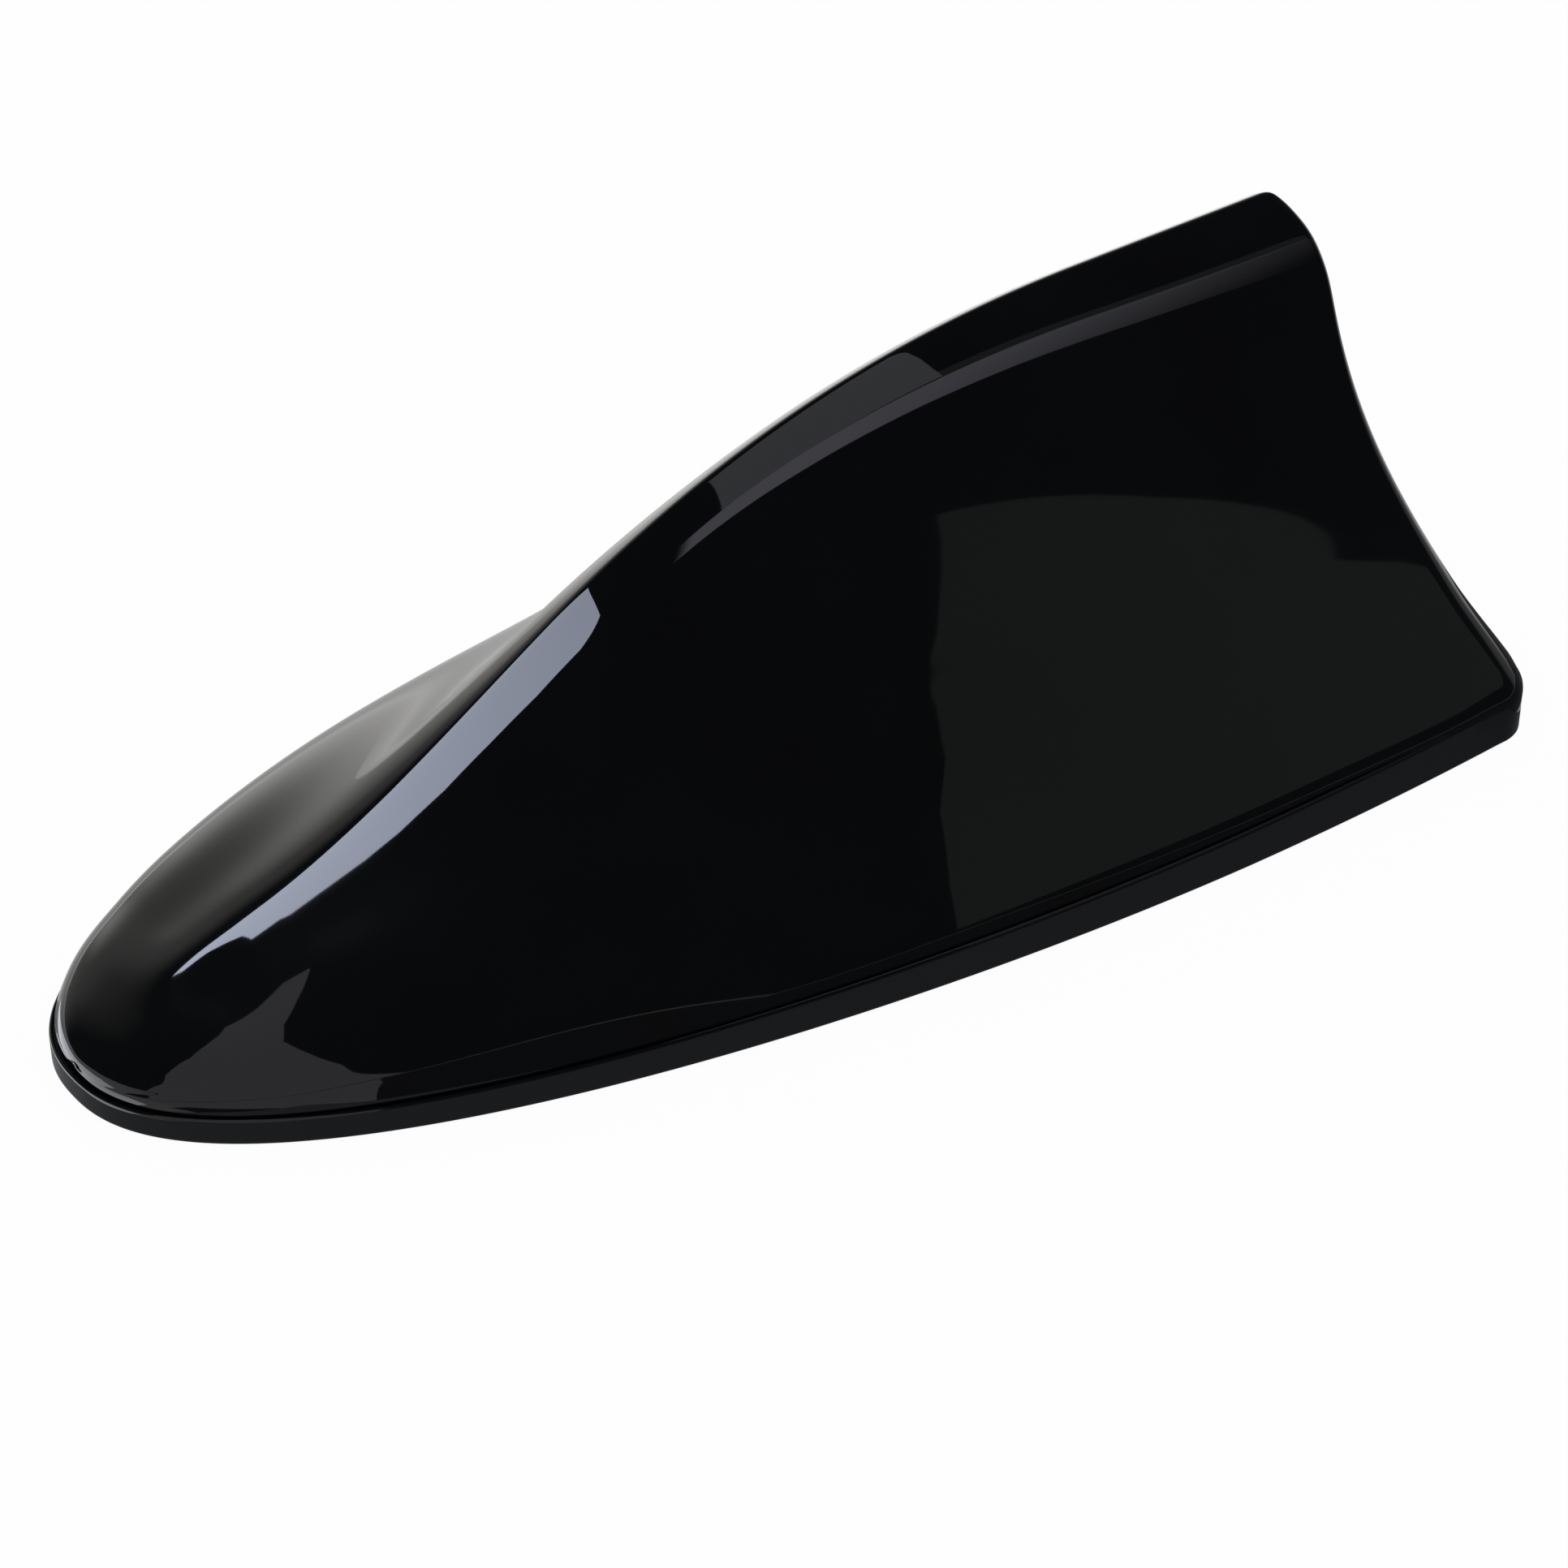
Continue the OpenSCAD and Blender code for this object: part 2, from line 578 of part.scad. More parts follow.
// Coil: a round wire wound up the former, with a leg down to its pin
wire_sides = 6;
turn_steps = 16;
function coil_point(a, k) =
    let(r = coil_r + wire_d / 2 * cos(k)) [r * cos(a), r * sin(a), wire_d / 2 * sin(k) + pitch * a / 360];
module coil() {
    n = turns * turn_steps;
    points = [for (i = [0 : n], j = [0 : wire_sides - 1]) coil_point(i * 360 / turn_steps, j * 360 / wire_sides)];
    sides = [for (i = [0 : n - 1], j = [0 : wire_sides - 1])
        let(a = i * wire_sides + j, b = i * wire_sides + (j + 1) % wire_sides)
        each [[a, b, a + wire_sides], [b, b + wire_sides, a + wire_sides]]];
    ends = concat([for (j = [1 : wire_sides - 2]) [0, j + 1, j]],
        [for (j = [1 : wire_sides - 2]) [n * wire_sides, n * wire_sides + j, n * wire_sides + j + 1]]);
    color("#b0612f") translate([0, coil_y, coil_low]) polyhedron(points, concat(sides, ends));
}

// Pins through the board tie the coil's lower end and the former down
pin_d = 0.9;
module pin_places() {
    for (a = [0, 90, 180, 270]) translate([0, coil_y, 0]) rotate(a)
        translate([former_d / 2 + 2, 0, 0]) children();
}
module solder_pins() {
    color("#b9b39d") pin_places()
        translate([0, 0, board_low - 0.6]) cylinder(h = board_t + flange_h + 0.6, d = pin_d, $fn = 24);
}

// Top plate: thin sheet folded down on both sides of the arm, its front and rear edges cut to the fin
hat_cut = hat_h / 2;
module hat_side() {
    polygon([[hat_from, hat_top], [hat_to - hat_cut, hat_top], [hat_to, hat_top - hat_cut],
        [hat_to, hat_top - hat_h], [hat_from + 2 * hat_cut, hat_top - hat_h], [hat_from, hat_top - hat_cut]]);
}
module top_plate() {
    color("#c9b26a") difference() {
        translate([-hat_w / 2, 0, 0]) rotate([90, 0, 90]) linear_extrude(hat_w) hat_side();
        translate([-hat_w / 2 + sheet_t, hat_from - 1, hat_top - hat_h - 1])
            cube([hat_w - 2 * sheet_t, hat_l + 2, hat_h + 1 - sheet_t]);
    }
}

// Foam between the top plate and the ridge keeps the aerial from rattling
foam_w = 3;
foam_room = 2.8;
foam_h = hat_gap - foam_room;
module foam_block() {
    color("#3b3d41") translate([-foam_w / 2, hat_from + hat_l / 8, hat_top]) cube([foam_w, 0.6 * hat_l, foam_h]);
}

cover();
base_plate();
gasket();
adhesive_pad();
adapter();
lock_washer();
adapter_nut();
contact_spring();
circuit_board();
board_screws();
shield_frame();
shield_lid();
amplifier_chip();
chip_capacitors();
input_inductor();
coil_former();
coil();
solder_pins();
top_plate();
foam_block();
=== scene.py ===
"""Looks of the shark fin roof aerial: its painted cover, each piece's finish, a camera and a studio."""

import math

import bmesh
import bpy
import numpy as np
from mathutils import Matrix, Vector


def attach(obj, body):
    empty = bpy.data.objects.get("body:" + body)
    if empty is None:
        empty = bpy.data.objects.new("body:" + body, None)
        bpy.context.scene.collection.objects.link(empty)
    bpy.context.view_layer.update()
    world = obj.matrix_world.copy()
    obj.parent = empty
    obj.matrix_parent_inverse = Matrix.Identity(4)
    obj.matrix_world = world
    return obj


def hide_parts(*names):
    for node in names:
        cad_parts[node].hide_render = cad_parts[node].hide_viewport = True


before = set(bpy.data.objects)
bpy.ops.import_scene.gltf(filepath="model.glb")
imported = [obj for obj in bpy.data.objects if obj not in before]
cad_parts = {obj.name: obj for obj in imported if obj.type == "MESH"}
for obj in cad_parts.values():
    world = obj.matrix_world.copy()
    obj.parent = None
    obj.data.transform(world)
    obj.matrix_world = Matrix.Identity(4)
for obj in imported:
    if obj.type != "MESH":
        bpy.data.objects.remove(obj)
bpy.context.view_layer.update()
MM = 0.001

# Plan, lip, ridge, tail edge and wall of the cover in millimetres, as in the solid part
COVER_L, COVER_W, WIDE_AT = 165, 75.6, 118.6
NOSE_ALONG, NOSE_ACROSS, TAIL_DRAW = 1.84, 2.28, 2.2
CORNER_LOW, CORNER_TOP, CORNER_ROUND = 10.8, 2.5, 2 / 2.6
LIP_NOSE, LIP_TAIL, LEDGE = 2.7, 5.4, 0.6
NOSE_TOP = LIP_NOSE + 0.8
BROW_AT, BROW_H, BROW_SLOPE = 22, 14.6, 0.34
RISE_AT, RISE_H, RISE_SLOPE = 56.4, 33.4, 0.62
CREST_AT, CREST_H, TIP_AT, TIP_H = 121.8, 52.6, 150, 53.8
TAIL_SWEEP, TAIL_HOLLOW, KNEE_H, KNEE_LEAN, TIP_ROUND = 11.6, 2.3, 45.3, 2.5, 4
WALL, BEAD, RIM_GAP = 2.2, 0.6, 0.4
# The section changes between three stations, on the nose, at half length and at the tail.
# At each: half width of the ridge strip and drop of its crease, in mm, then lean of the flank's foot
# and flare of the flank under the crease, in degrees. The first station lies 4 mm further back than in
# the solid part, and the strip is wider and flatter there
STATIONS = (16, 75, 150)
STRIP = (5, 4.1, 5.6)
CREASE = (1.1, 2.8, 3.8)
FOOT_LEAN = (2, 21, 37)
CREASE_FLARE = (76, 22, 22)
FOOT_FULL, CREASE_FULL = 0.46, 0.43
# The nose is a smooth dome up to DOME_TO; the ridge has grown out of it at RIDGE_FROM
DOME_TO, RIDGE_FROM, DOME_FLARE, DOME_CREASE = 6, 15, 87, 0.08
# Share of the section's parameter at which the flank ends and the strip begins
CREASE_V = 0.75
# Bulge of the strip's curve: how far out its middle is pulled, and how far down
STRIP_OUT, STRIP_DOWN = 0.55, 0.4
# Shares of the wall by which the inside of the ridge lies back, lower and narrower
INNER_BACK, INNER_DOWN, INNER_NARROW = 0.6, 0.9, 0.5
# Least height of the flank and least half width of the strip; the crease takes up to a share of the height
LEAST_FLANK, LEAST_STRIP, MOST_CREASE = 0.2, 0.3, 0.4
# Exponents of the lean at the tip and of how the rear corner tightens upwards
KNEE_CURVE, CORNER_CURVE = 1.3, 0.6
# The tip's rows dip at their rear end: a share of TIP_ROUND, and an exponent over the strip
TIP_DIP, DIP_CURVE = 0.65, 1.4


def mix(a, b, t):
    return a + (b - a) * t


def ease(t):
    t = np.clip(t, 0, 1)
    return t * t * (3 - 2 * t)


def ramp(value, start, run):
    """Eases from 0 at the start to 1 at the end of the run; a run below zero goes the other way."""
    return ease((value - start) / run)


def along_stations(u, values):
    """A value that eases from the nose over the middle to the tail."""
    a, b, c = values
    nose, middle, tail = STATIONS
    return a + (b - a) * ramp(u, nose, middle - nose) + (c - b) * ramp(u, middle, tail - middle)


def half_width(u, inset=0.0):
    """Half width of the plan at a distance from the nose, inset on all sides."""
    k = np.clip((u - inset) / (WIDE_AT - inset), 0, 1)
    drawn = TAIL_DRAW * np.clip((u - WIDE_AT) / (COVER_L - WIDE_AT), 0, 1) ** 2
    return (COVER_W / 2 - inset) * (1 - (1 - k) ** NOSE_ALONG) ** (1 / NOSE_ACROSS) - drawn


def bow(t, run, z0, s0, z1, s1):
    """A curve between two heights with a slope at each end."""
    return ((2 * t**3 - 3 * t**2 + 1) * z0 + (t**3 - 2 * t**2 + t) * run * s0
            + (3 * t**2 - 2 * t**3) * z1 + (t**3 - t**2) * run * s1)


def ridge_height(u):
    """Height of the ridge: a round nose, two bows over the brow and the rise, and a straight top."""
    u = np.asarray(u, float)
    t = np.clip(u / BROW_AT, 0, 1)
    rise = BROW_H - NOSE_TOP
    root = 2 * (rise - BROW_SLOPE * BROW_AT)
    nose = NOSE_TOP + root * np.sqrt(t) + (rise - root) * t
    top_slope = (TIP_H - CREST_H) / (TIP_AT - CREST_AT)
    brow = bow(np.clip((u - BROW_AT) / (RISE_AT - BROW_AT), 0, 1), RISE_AT - BROW_AT,
               BROW_H, BROW_SLOPE, RISE_H, RISE_SLOPE)
    back = bow(np.clip((u - RISE_AT) / (CREST_AT - RISE_AT), 0, 1), CREST_AT - RISE_AT,
               RISE_H, RISE_SLOPE, CREST_H, top_slope)
    top = mix(CREST_H, TIP_H, np.clip((u - CREST_AT) / (TIP_AT - CREST_AT), 0, 1))
    return np.select([u <= BROW_AT, u <= RISE_AT, u <= CREST_AT], [nose, brow, back], top)


def over_strip(v):
    """Share of the way from the crease to the ridge."""
    return np.clip((v - CREASE_V) / (1 - CREASE_V), 0, 1)


def section(u, v, skin=0.0):
    """Half width and height at a distance from the nose: v runs from the flank's foot to the ridge.

    skin is the depth under the outer face: 0 outside, the wall inside."""
    half = half_width(u, LEDGE + skin)
    start = LEDGE * np.clip(1 - u / BROW_AT, 0, 1) if skin == 0 else 0
    top = ridge_height(np.maximum(u - INNER_BACK * skin - start, 0)) - INNER_DOWN * skin
    foot = np.minimum(mix(LIP_NOSE, LIP_TAIL, np.clip(u / COVER_L, 0, 1)), top - LEAST_FLANK)
    grown = mix(DOME_CREASE, 1, ramp(u, DOME_TO, RIDGE_FROM - DOME_TO))
    strip = np.minimum(np.maximum(along_stations(u, STRIP) - INNER_NARROW * skin, LEAST_STRIP), half / 2)
    drop = np.minimum(along_stations(u, CREASE) * grown * np.minimum(1, half), MOST_CREASE * (top - foot))
    if v > CREASE_V:
        r = over_strip(v)
        bulge = 2 * (1 - r) * r
        return ((1 - r) ** 2 * strip + bulge * STRIP_OUT * strip,
                (1 - r) ** 2 * (top - drop) + bulge * (top - STRIP_DOWN * drop) + r * r * top)
    s = np.clip(v / CREASE_V, 0, 1)
    reach = np.hypot(half - strip, top - drop - foot)
    lean = np.radians(along_stations(u, FOOT_LEAN))
    flare = np.radians(mix(DOME_FLARE, along_stations(u, CREASE_FLARE), grown))
    low_x, low_z = half - FOOT_FULL * reach * np.sin(lean), foot + FOOT_FULL * reach * np.cos(lean)
    high_x = strip + CREASE_FULL * reach * np.sin(flare)
    high_z = top - drop - CREASE_FULL * reach * np.cos(flare)
    at_foot, near_foot = (1 - s) ** 3, 3 * (1 - s) ** 2 * s
    near_crease, at_crease = 3 * (1 - s) * s * s, s**3
    return (at_foot * half + near_foot * low_x + near_crease * high_x + at_crease * strip,
            at_foot * foot + near_foot * low_z + near_crease * high_z + at_crease * (top - drop))


def tail_edge(z):
    """Distance from the nose to the tail edge at a height."""
    k = np.clip((z - LIP_TAIL) / (KNEE_H - LIP_TAIL), 0, 1)
    t = np.clip((z - KNEE_H) / (TIP_H - KNEE_H), 0, 1)
    return COVER_L - TAIL_SWEEP * (1 - (1 - k) ** TAIL_HOLLOW) - KNEE_LEAN * t**KNEE_CURVE


def corner_depth(z):
    """Depth of the rounded rear corner at a height."""
    return mix(CORNER_LOW, CORNER_TOP, np.clip((z - LIP_TAIL) / (KNEE_H - LIP_TAIL), 0, 1) ** CORNER_CURVE)


# Columns of points run from the nose, where they are closest, to the rear corner and round it to the
# middle of the tail
ALONG = np.linspace(0, 1, 171) ** 1.8
ROUND = np.radians(np.linspace(0, 90, 31)[1:])
COS_ROUND, SIN_ROUND = np.cos(ROUND) ** CORNER_ROUND, np.sin(ROUND) ** CORNER_ROUND
COS_ROUND[-1] = 0
# The rear corner stays at least this much deeper than the row's inset
LEAST_CORNER = 0.8


def lip_row(inset, z_nose, z_tail):
    """A row of points that follows the plan at an inset and rises evenly from nose to tail."""
    last = COVER_L - CORNER_LOW
    u = mix(inset, last, ALONG)
    u_round = last + (CORNER_LOW - inset) * SIN_ROUND
    x = np.concatenate([half_width(u, inset), half_width(last, inset) * COS_ROUND])
    u = np.concatenate([u, u_round])
    return np.stack([x, u, mix(z_nose, z_tail, u / COVER_L)], -1)


def skin_row(v, skin):
    """A row of points along the fin at one share of its section, on the outside or the inside."""
    inset = LEDGE + skin
    dip = TIP_DIP * TIP_ROUND * over_strip(v) ** DIP_CURVE
    z = section(np.array(float(STATIONS[2])), v, skin)[1]
    corner = max(corner_depth(z) + dip / 3, inset + LEAST_CORNER)
    last = tail_edge(z) - corner
    u = mix(inset, last, ALONG)
    x, z = section(u, v, skin)
    x_round = x[-1] * COS_ROUND
    z_round = z[-1] - (0 if skin else dip) * (1 - COS_ROUND)
    u_round = last + (corner - inset) * SIN_ROUND
    if v == 1:
        x, x_round = 0 * x, 0 * x_round
    x[0] = 0
    return np.stack([np.concatenate([x, x_round]), np.concatenate([u, u_round]),
                     np.concatenate([z, z_round])], -1)


# Spacing of the points at which a column is blurred, its least length, and the blur's reach in radii
BLUR_STEP, LEAST_COLUMN, BLUR_REACH = 0.08, 4, 4


def soften(rows, shares, radius):
    """Rounds the crease and the ridge: each column is blurred along its own length, over to the other side.

    shares says how much of the blur each row takes, radius how wide it is in each column."""
    rows = rows.copy()
    for c in range(rows.shape[1]):
        side = rows[:, c]
        path = np.concatenate([side, side[-2::-1] * (-1, 1, 1)])
        length = np.concatenate([[0], np.cumsum(np.linalg.norm(np.diff(path, axis=0), axis=1))])
        if length[-1] < LEAST_COLUMN:
            continue
        even = np.arange(0, length[-1], BLUR_STEP)
        reach = int(BLUR_REACH * radius[c] / BLUR_STEP)
        weight = np.exp(-0.5 * (np.arange(-reach, reach + 1) * BLUR_STEP / radius[c]) ** 2)
        weight /= weight.sum()
        for k in range(3):
            line = np.pad(np.interp(even, length, path[:, k]), reach, mode="edge")
            soft = np.interp(length[: len(side)], even, np.convolve(line, weight, "valid"))
            rows[:, c, k] = mix(rows[:, c, k], soft, shares)
    rows[-1, :, 0] = 0
    return rows


# Rows of the skirt inside the lower edge: how far in from its face, and how high. The second is the bead
SKIRT = ((0, 0.75), (BEAD, 0.45), (0, 0.1), (-0.1, 0))
# Rows of the lip: how far in, and how high, from the lower edge round to its outer face
LIP_LOW = ((0.35, 0), (0.18, 0.02), (0.06, 0.08), (0, 0.2), (0, 0.4))
# Then how far in, and how far under the lip's top, over its upper edge and the groove to the flank
LIP_HIGH = ((0, 0.6), (0, 0.35), (0.03, 0.2), (0.1, 0.08), (0.2, 0.02), (0.3, 0.02),
            (0.38, 0.1), (0.46, 0.26), (0.52, 0.3), (0.57, 0.24), (0.6, 0.08))
# Toward the tail corner the ledge closes by a share of its width, over a ramp along the cover (start, run).
# The lip's top runs plain there: its depth at the outer face, and its rise over the ledge
CLOSING, CLOSED = (128, 24), 0.85
PLAIN_DEPTH, PLAIN_RISE = 0.6, 0.52
# Steps up each part of the section; the flank's and the strip's are smallest at the crease
INSIDE_STEPS, FLANK_STEPS, STRIP_STEPS = 24, 60, 24
FLANK_CROWDING, STRIP_CROWDING = 1.5, 1.15
# The outside is blurred twice: first all of it above the flank's foot, widest on the nose, then the crease
# alone, widest at the rear. Radii are in millimetres, front and rear. Ramps along the cover are in
# millimetres, and ramps up the section in its shares, as (start, run)
FIRST_RADII, FIRST_ALONG, FIRST_UP = (1.6, 0.42), (15, 50), (0.04, 0.12)
CREASE_RADII, CREASE_ALONG, CREASE_UP, CREASE_DOWN = (0.2, 1.4), (60, 25), (0.4, 0.2), (0.93, -0.1)
# Share of the section over which the flank's foot moves out where the ledge closes
FOOT_MOVED = 0.14


def flank_grid(outward, closing):
    """Rows of points of the outside from the flank's foot to the ridge, with a soft crease and ridge."""
    flank_v = CREASE_V * (1 - (1 - np.linspace(0, 1, FLANK_STEPS + 1)) ** FLANK_CROWDING)
    strip_v = mix(CREASE_V, 1, np.linspace(0, 1, STRIP_STEPS + 1)[1:] ** STRIP_CROWDING)
    shares_v = np.concatenate([flank_v, strip_v])
    flank = np.stack([skin_row(v, 0.0) for v in shares_v])
    u = flank[FLANK_STEPS // 2, :, 1]
    flank = soften(flank, ramp(shares_v, *FIRST_UP), mix(*FIRST_RADII, ramp(u, *FIRST_ALONG)))
    crease = ramp(shares_v, *CREASE_UP) * ramp(shares_v, *CREASE_DOWN)
    flank = soften(flank, crease, mix(*CREASE_RADII, ramp(u, *CREASE_ALONG)))
    foot = (1 - ramp(shares_v, 0, FOOT_MOVED))[:, None, None]
    return flank + foot * closing * outward * CLOSED


def cover_grid():
    """Rows of points from the inside of the ridge, down the wall, round the lip and up to the ridge."""
    skirt_in = WALL + LEDGE
    inside = [skin_row(1 - k / INSIDE_STEPS, WALL) for k in range(INSIDE_STEPS + 1)]
    skirt = [lip_row(skirt_in + inset, z, z) for inset, z in SKIRT]
    lip = [lip_row(inset, z, z) for inset, z in LIP_LOW]
    outward = (lip_row(0, 0, 0) - lip_row(LEDGE, 0, 0)) * (1, 1, 0)
    closing = ramp(lip_row(0, 0, 0)[:, 1], *CLOSING)[:, None]
    for inset, depth in LIP_HIGH:
        share = inset / LEDGE
        plain = (0, 0, depth - PLAIN_DEPTH + PLAIN_RISE * share)
        row = lip_row(inset, LIP_NOSE - depth, LIP_TAIL - depth)
        lip.append(row + closing * (outward * CLOSED * share + plain))
    return np.concatenate([np.stack(inside + skirt + lip), flank_grid(outward, closing)])


def build_cover():
    """The cover as one smooth mesh: the grid and its mirror image, joined where their points meet."""
    grid = cover_grid()
    rows, columns = grid.shape[:2]
    grid[..., 1] -= COVER_L / 2
    grid[..., 2] += RIM_GAP
    points = np.concatenate([grid.reshape(-1, 3), grid.reshape(-1, 3) * (-1, 1, 1)]) * MM
    a = (np.arange(rows - 1)[:, None] * columns + np.arange(columns - 1)[None, :]).ravel()
    right = np.stack([a, a + 1, a + columns + 1, a + columns], -1)
    left = (right + rows * columns)[:, ::-1]
    mesh = bpy.data.meshes.new("painted_cover")
    mesh.from_pydata(points.tolist(), [], np.concatenate([right, left]).tolist())
    work = bmesh.new()
    work.from_mesh(mesh)
    bmesh.ops.remove_doubles(work, verts=work.verts, dist=0.002 * MM)
    bmesh.ops.dissolve_degenerate(work, edges=work.edges, dist=0.001 * MM)
    for face in work.faces:
        face.smooth = True
    work.to_mesh(mesh)
    work.free()
    cover = bpy.data.objects.new("painted_cover", mesh)
    bpy.context.scene.collection.objects.link(cover)
    return cover


cover = build_cover()
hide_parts("cover")
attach(cover, "root")


def linear(code):
    """An sRGB hex colour as linear light."""
    parts = [int(code[i : i + 2], 16) / 255 for i in (1, 3, 5)]
    return [p / 12.92 if p <= 0.04045 else ((p + 0.055) / 1.055) ** 2.4 for p in parts] + [1]


def add(tree, kind, links=(), **settings):
    """Adds a node. Settings are its properties or inputs; links are (input, source node, output)."""
    node = tree.nodes.new(kind)
    for name, value in settings.items():
        if hasattr(node, name):
            setattr(node, name, value)
        else:
            node.inputs[name.replace("_", " ")].default_value = value
    for socket, source, output in links:
        tree.links.new(source.outputs[output], node.inputs[socket])
    return node


# Where the patches' noise turns from the dark tone to the light one, and from smoothest to roughest
TONE_STOPS, WEAR_STOPS = (0.35, 0.65), (0.3, 0.7)


def finish(name, light, dark, patch_mm, rough, bump, stretch=(1, 1, 1), **shader):
    """A finish whose colour drifts between two tones in patches, with its roughness and a fine bump.

    rough is (smoothest, roughest); bump is (size of its grain in mm, depth in mm)."""
    material = bpy.data.materials.new(name)
    material.use_nodes = True
    tree = material.node_tree
    body = tree.nodes["Principled BSDF"]
    for socket, value in shader.items():
        body.inputs[socket.replace("_", " ")].default_value = value
    place = add(tree, "ShaderNodeTexCoord")
    turned = add(tree, "ShaderNodeMapping", [("Vector", place, "Object")], Scale=stretch)
    patches = add(tree, "ShaderNodeTexNoise", [("Vector", turned, "Vector")],
                  Scale=1 / (patch_mm * MM), Detail=4.0, Roughness=0.55)
    tone = add(tree, "ShaderNodeValToRGB", [("Fac", patches, "Fac")])
    for stop, at, code in zip(tone.color_ramp.elements, TONE_STOPS, (dark, light)):
        stop.position, stop.color = at, linear(code)
    tree.links.new(tone.outputs["Color"], body.inputs["Base Color"])
    wear = add(tree, "ShaderNodeMapRange", [("Value", patches, "Fac")],
               From_Min=WEAR_STOPS[0], From_Max=WEAR_STOPS[1], To_Min=rough[0], To_Max=rough[1])
    tree.links.new(wear.outputs["Result"], body.inputs["Roughness"])
    grain_mm, depth_mm = bump
    grain = add(tree, "ShaderNodeTexNoise", [("Vector", turned, "Vector")],
                Scale=1 / (grain_mm * MM), Detail=3.0)
    relief = add(tree, "ShaderNodeBump", [("Height", grain, "Fac")], Strength=1.0, Distance=depth_mm * MM)
    tree.links.new(relief.outputs["Normal"], body.inputs["Normal"])
    return material


# Gloss black paint over moulded ABS: near black, wet looking, with a faint orange peel from the spray gun
gloss_black = finish("gloss_black_paint_on_ABS", "#060708", "#050506", 18, (0.03, 0.05), (2.2, 0.0006),
                     IOR=1.48)
# ABS as moulded: dark grey, spark-eroded grain that scatters the light
black_abs = finish("moulded_black_ABS", "#2b2c2e", "#232426", 9, (0.5, 0.62), (0.5, 0.02), IOR=1.54)
# EPDM rubber: dull and slightly dusty
rubber = finish("moulded_EPDM_rubber", "#1f1f20", "#171718", 6, (0.68, 0.8), (0.7, 0.03), IOR=1.5)
# Acrylic foam tape: even dark grey with tiny cells
foam_tape = finish("closed_cell_acrylic_foam_tape", "#303133", "#242527", 4, (0.75, 0.9), (0.6, 0.06),
                   IOR=1.48)
# Brass, turned on a lathe: warm yellow with a soft sheen
brass = finish("turned_brass", "#d9b56a", "#b9904a", 3, (0.22, 0.34), (0.3, 0.004), Metallic=1.0)
# Spring steel with a thin zinc coat: pale grey with a soft shine
zinc = finish("zinc_plated_spring_steel", "#c3c6c8", "#a7abaf", 2.5, (0.26, 0.4), (0.3, 0.005), Metallic=1.0)
# Nickel on brass: pale, slightly yellow and bright
nickel = finish("nickel_plated_brass", "#cfc9bc", "#b7b1a4", 3, (0.14, 0.24), (0.35, 0.003), Metallic=1.0)
# Phosphor bronze strip as rolled: reddish gold with fine lines along it
bronze = finish("rolled_phosphor_bronze", "#cf9a63", "#b57f4b", 2, (0.2, 0.32), (0.25, 0.003), (1, 0.1, 1),
                Metallic=1.0)
# Glass cloth laminate under green solder mask: a glossy lacquer over a faint weave
board = finish("green_solder_mask_on_FR4", "#1d6a3f", "#134d2c", 2.4, (0.2, 0.34), (0.6, 0.01), IOR=1.55)
# Steel screws, black zinc-plated: dark grey with a dull gleam
screw_steel = finish("black_zinc_plated_steel", "#57595c", "#3f4144", 1.5, (0.28, 0.42), (0.3, 0.005),
                     Metallic=1.0)
# Tin-plated sheet steel, stamped: pale grey with cloudy patches
tinplate = finish("stamped_tinplate", "#d3d5d6", "#b4b7ba", 5, (0.2, 0.36), (0.8, 0.004), Metallic=1.0)
# Epoxy mould compound of a chip: black and matt with a sandy surface
epoxy = finish("moulded_black_epoxy", "#27282a", "#1c1d1f", 1, (0.5, 0.65), (0.15, 0.008), IOR=1.55)
# Fired ceramic chips: brown and nearly matt
ceramic = finish("fired_ceramic", "#b58a5c", "#946c42", 0.8, (0.4, 0.55), (0.2, 0.005), IOR=1.6)
# Pressed ferrite: dark brown grey and powdery
ferrite = finish("pressed_ferrite", "#45403c", "#332f2c", 1.2, (0.6, 0.75), (0.2, 0.012), IOR=1.7)
# Polyacetal as moulded: milky white with a waxy sheen
acetal = finish("moulded_white_polyacetal", "#ece8dd", "#ddd8ca", 6, (0.34, 0.46), (0.8, 0.008), IOR=1.48,
                Subsurface_Weight=0.1, Subsurface_Scale=0.002)
# Enamelled copper wire: deep orange brown under clear lacquer
copper = finish("enamelled_copper_wire", "#b5622f", "#8f4820", 1.5, (0.12, 0.22), (0.4, 0.002), Metallic=1.0,
                Coat_Weight=0.6, Coat_Roughness=0.08)
# Tinned copper pins: pale grey, dull from soldering
solder = finish("tinned_copper", "#c9c8c2", "#a5a49d", 0.8, (0.3, 0.45), (0.2, 0.005), Metallic=1.0)
# Brass sheet as rolled: pale yellow with fine lines along it
brass_sheet = finish("rolled_brass_sheet", "#dcc07c", "#c2a35c", 4, (0.2, 0.32), (0.3, 0.003), (1, 0.08, 1),
                     Metallic=1.0)
# Open-cell polyurethane foam: dark grey with visible pores
foam = finish("open_cell_polyurethane_foam", "#46484c", "#2c2e31", 0.9, (0.85, 0.95), (0.5, 0.2), IOR=1.45)

